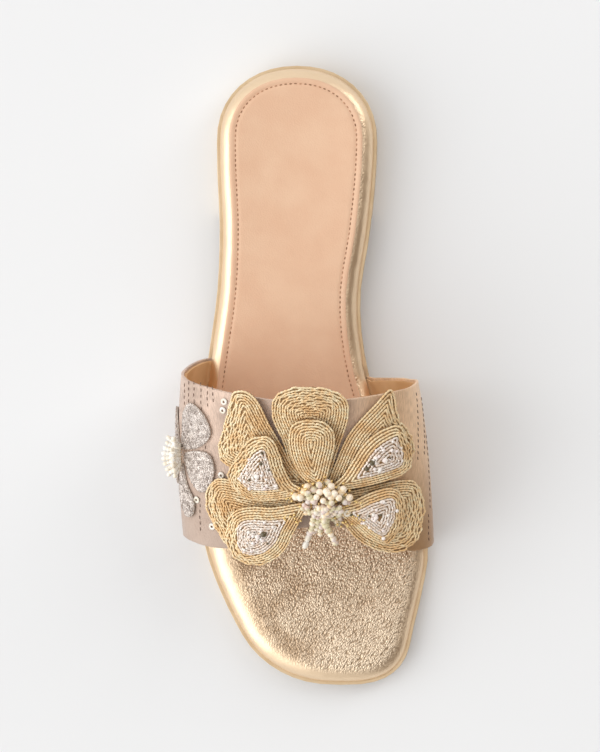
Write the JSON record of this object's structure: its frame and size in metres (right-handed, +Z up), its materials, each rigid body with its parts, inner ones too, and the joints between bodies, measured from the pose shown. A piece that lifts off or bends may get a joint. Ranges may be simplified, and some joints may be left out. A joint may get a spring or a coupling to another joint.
{
  "type": "embellished slide sandal",
  "caption": "Flat slide sandal for a right foot: one wide strap with a large thread flower and pearls, and a sequin flower on its outer side.",
  "frame": {"origin": "on the ground, under the middle of the bounding box", "axes": "toe towards -Y, heel towards +Y, outer side of the foot towards -X, inner side towards +X, +Z up"},
  "size_m": [0.1086, 0.252, 0.0724],
  "materials": {
    "outsole_tan": "satin tan-gold sole sheet",
    "gold_leather": "metallic pale gold leather with a fine crinkled grain",
    "nude_leather": "smooth matt nude leather with a stitched edge",
    "rose_fabric": "fine nude-rose fabric with a soft sheen",
    "gold_thread": "rows of twisted gold metal thread with a bright sheen, silver in the petals' middles",
    "silver_sequin": "overlapping silver sequins",
    "pearl": "cream pearl gloss"
  },
  "bodies": {
    "root": {"outsole": "outsole_tan", "footbed": "gold_leather", "sock_lining": "nude_leather", "strap": "rose_fabric", "back_petal_back": "gold_thread", "back_petal_inner_back": "gold_thread", "back_petal_inner_front": "gold_thread", "back_petal_outer_front": "gold_thread", "back_petal_outer_back": "gold_thread", "front_petal_back": "gold_thread", "front_petal_inner_back": "gold_thread", "front_petal_inner_front": "gold_thread", "front_petal_outer_front": "gold_thread", "front_petal_outer_back": "gold_thread", "side_petal_1": "silver_sequin", "side_petal_2": "silver_sequin", "side_petal_3": "silver_sequin", "side_petal_4": "silver_sequin", "side_petal_5": "silver_sequin", "pearl_centre": "pearl", "side_stamens": "pearl"}
  },
  "joints": []
}
